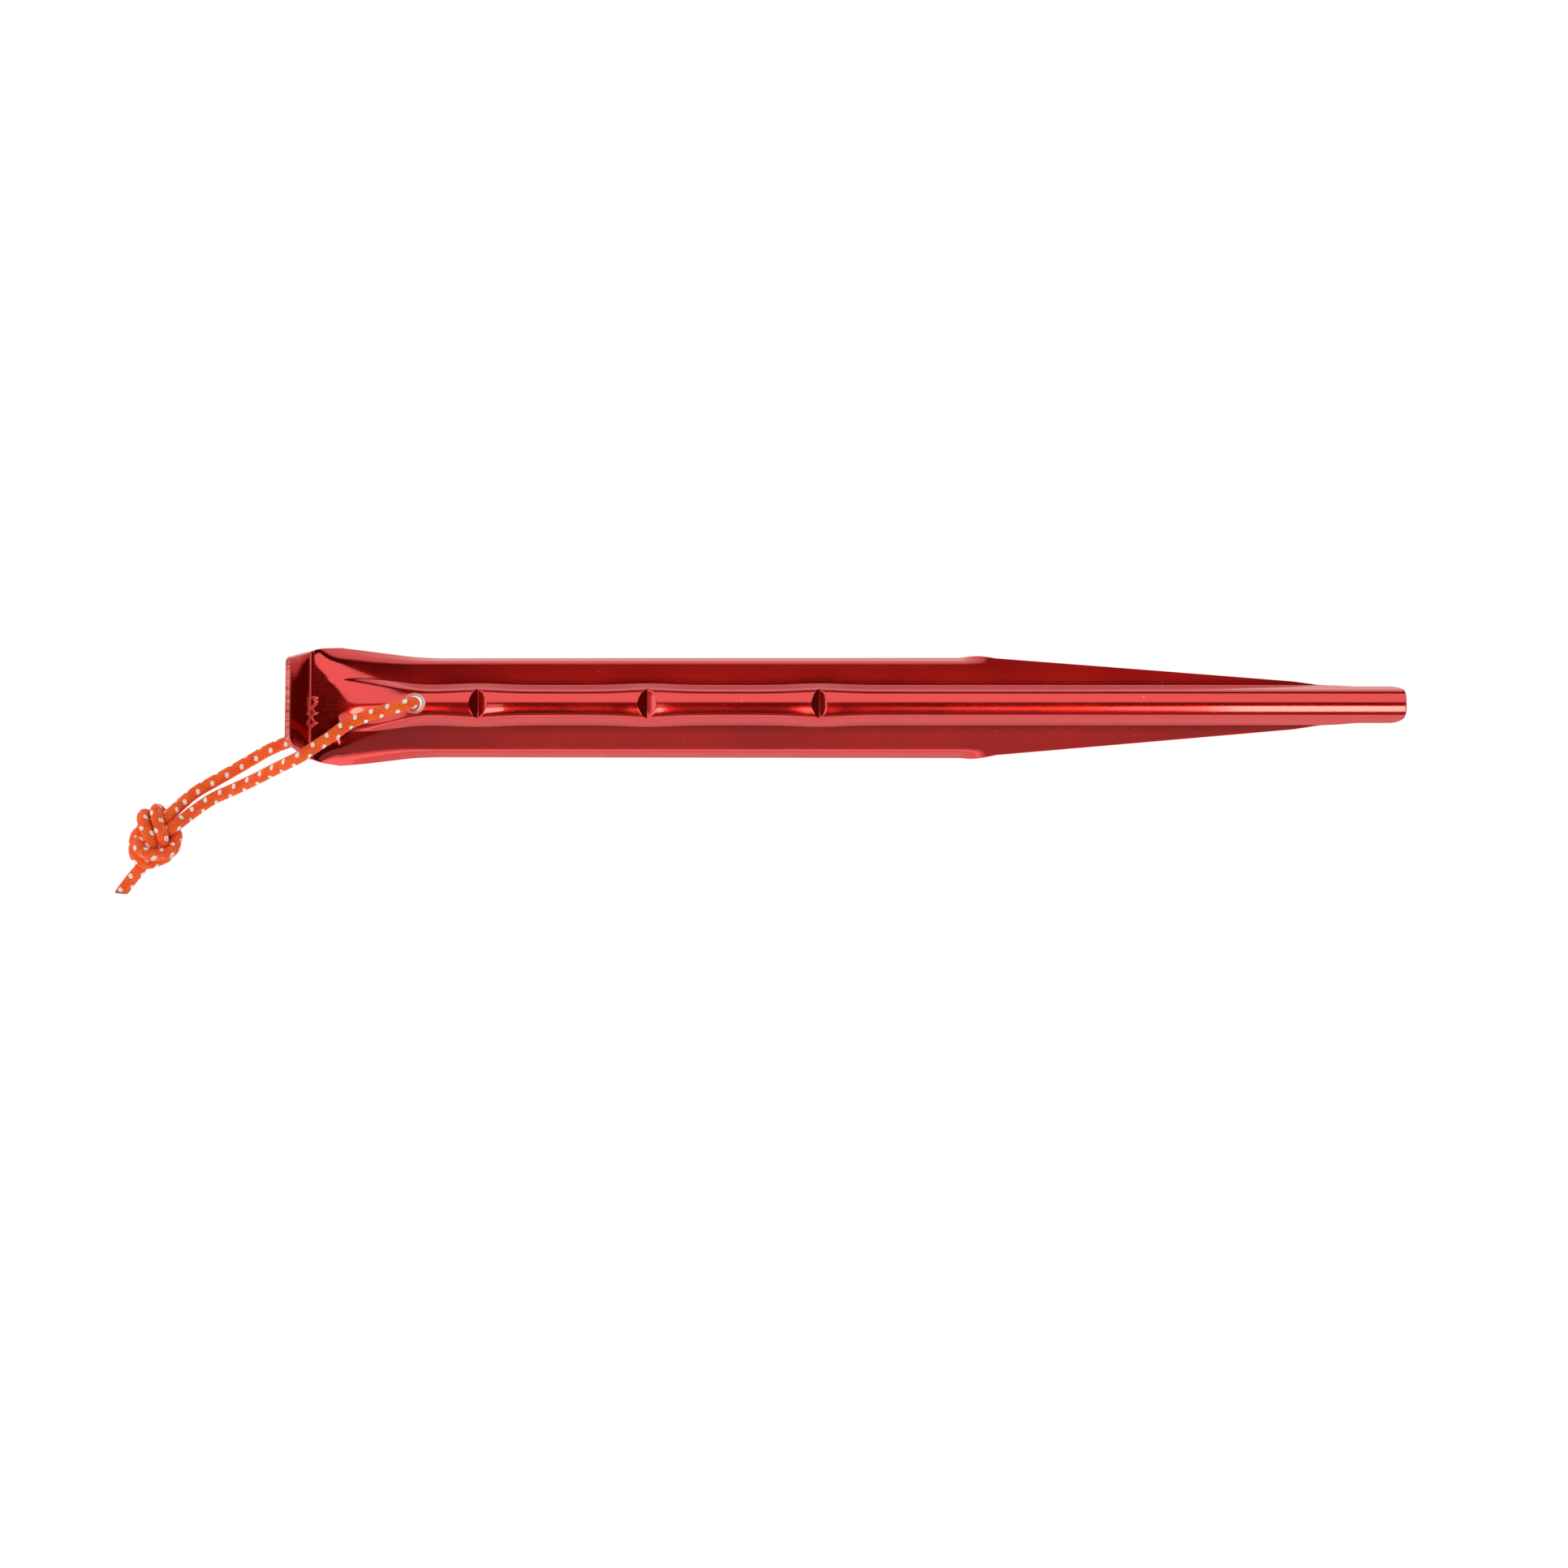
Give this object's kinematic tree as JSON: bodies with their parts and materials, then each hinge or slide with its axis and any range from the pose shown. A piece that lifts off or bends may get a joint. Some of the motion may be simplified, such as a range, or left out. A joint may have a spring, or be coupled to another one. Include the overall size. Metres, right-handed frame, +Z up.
{
  "type": "tent stake",
  "caption": "Pressed sheet-aluminium tent stake: beaded channel section, hook flange at the head, rounded tip, notched ridge and a knotted pull cord through a hole.",
  "frame": {"origin": "under the middle of the stake's length, on the surface that its rims lie on, without the cord", "axes": "+X from the hammering flange to the tip, +Z up through the ridge, +Y to the left of the stake seen from its head"},
  "size_m": [0.208, 0.0405, 0.0112],
  "materials": {
    "anodised_metal": "glossy red anodised sheet",
    "braided_cord": "orange braid with pale reflective tracer flecks"
  },
  "bodies": {
    "root": {"stake_body": "anodised_metal", "cord_upper_leg": "braided_cord", "cord_lower_leg": "braided_cord", "cord_knot": "braided_cord", "cord_tail": "braided_cord"}
  },
  "joints": []
}
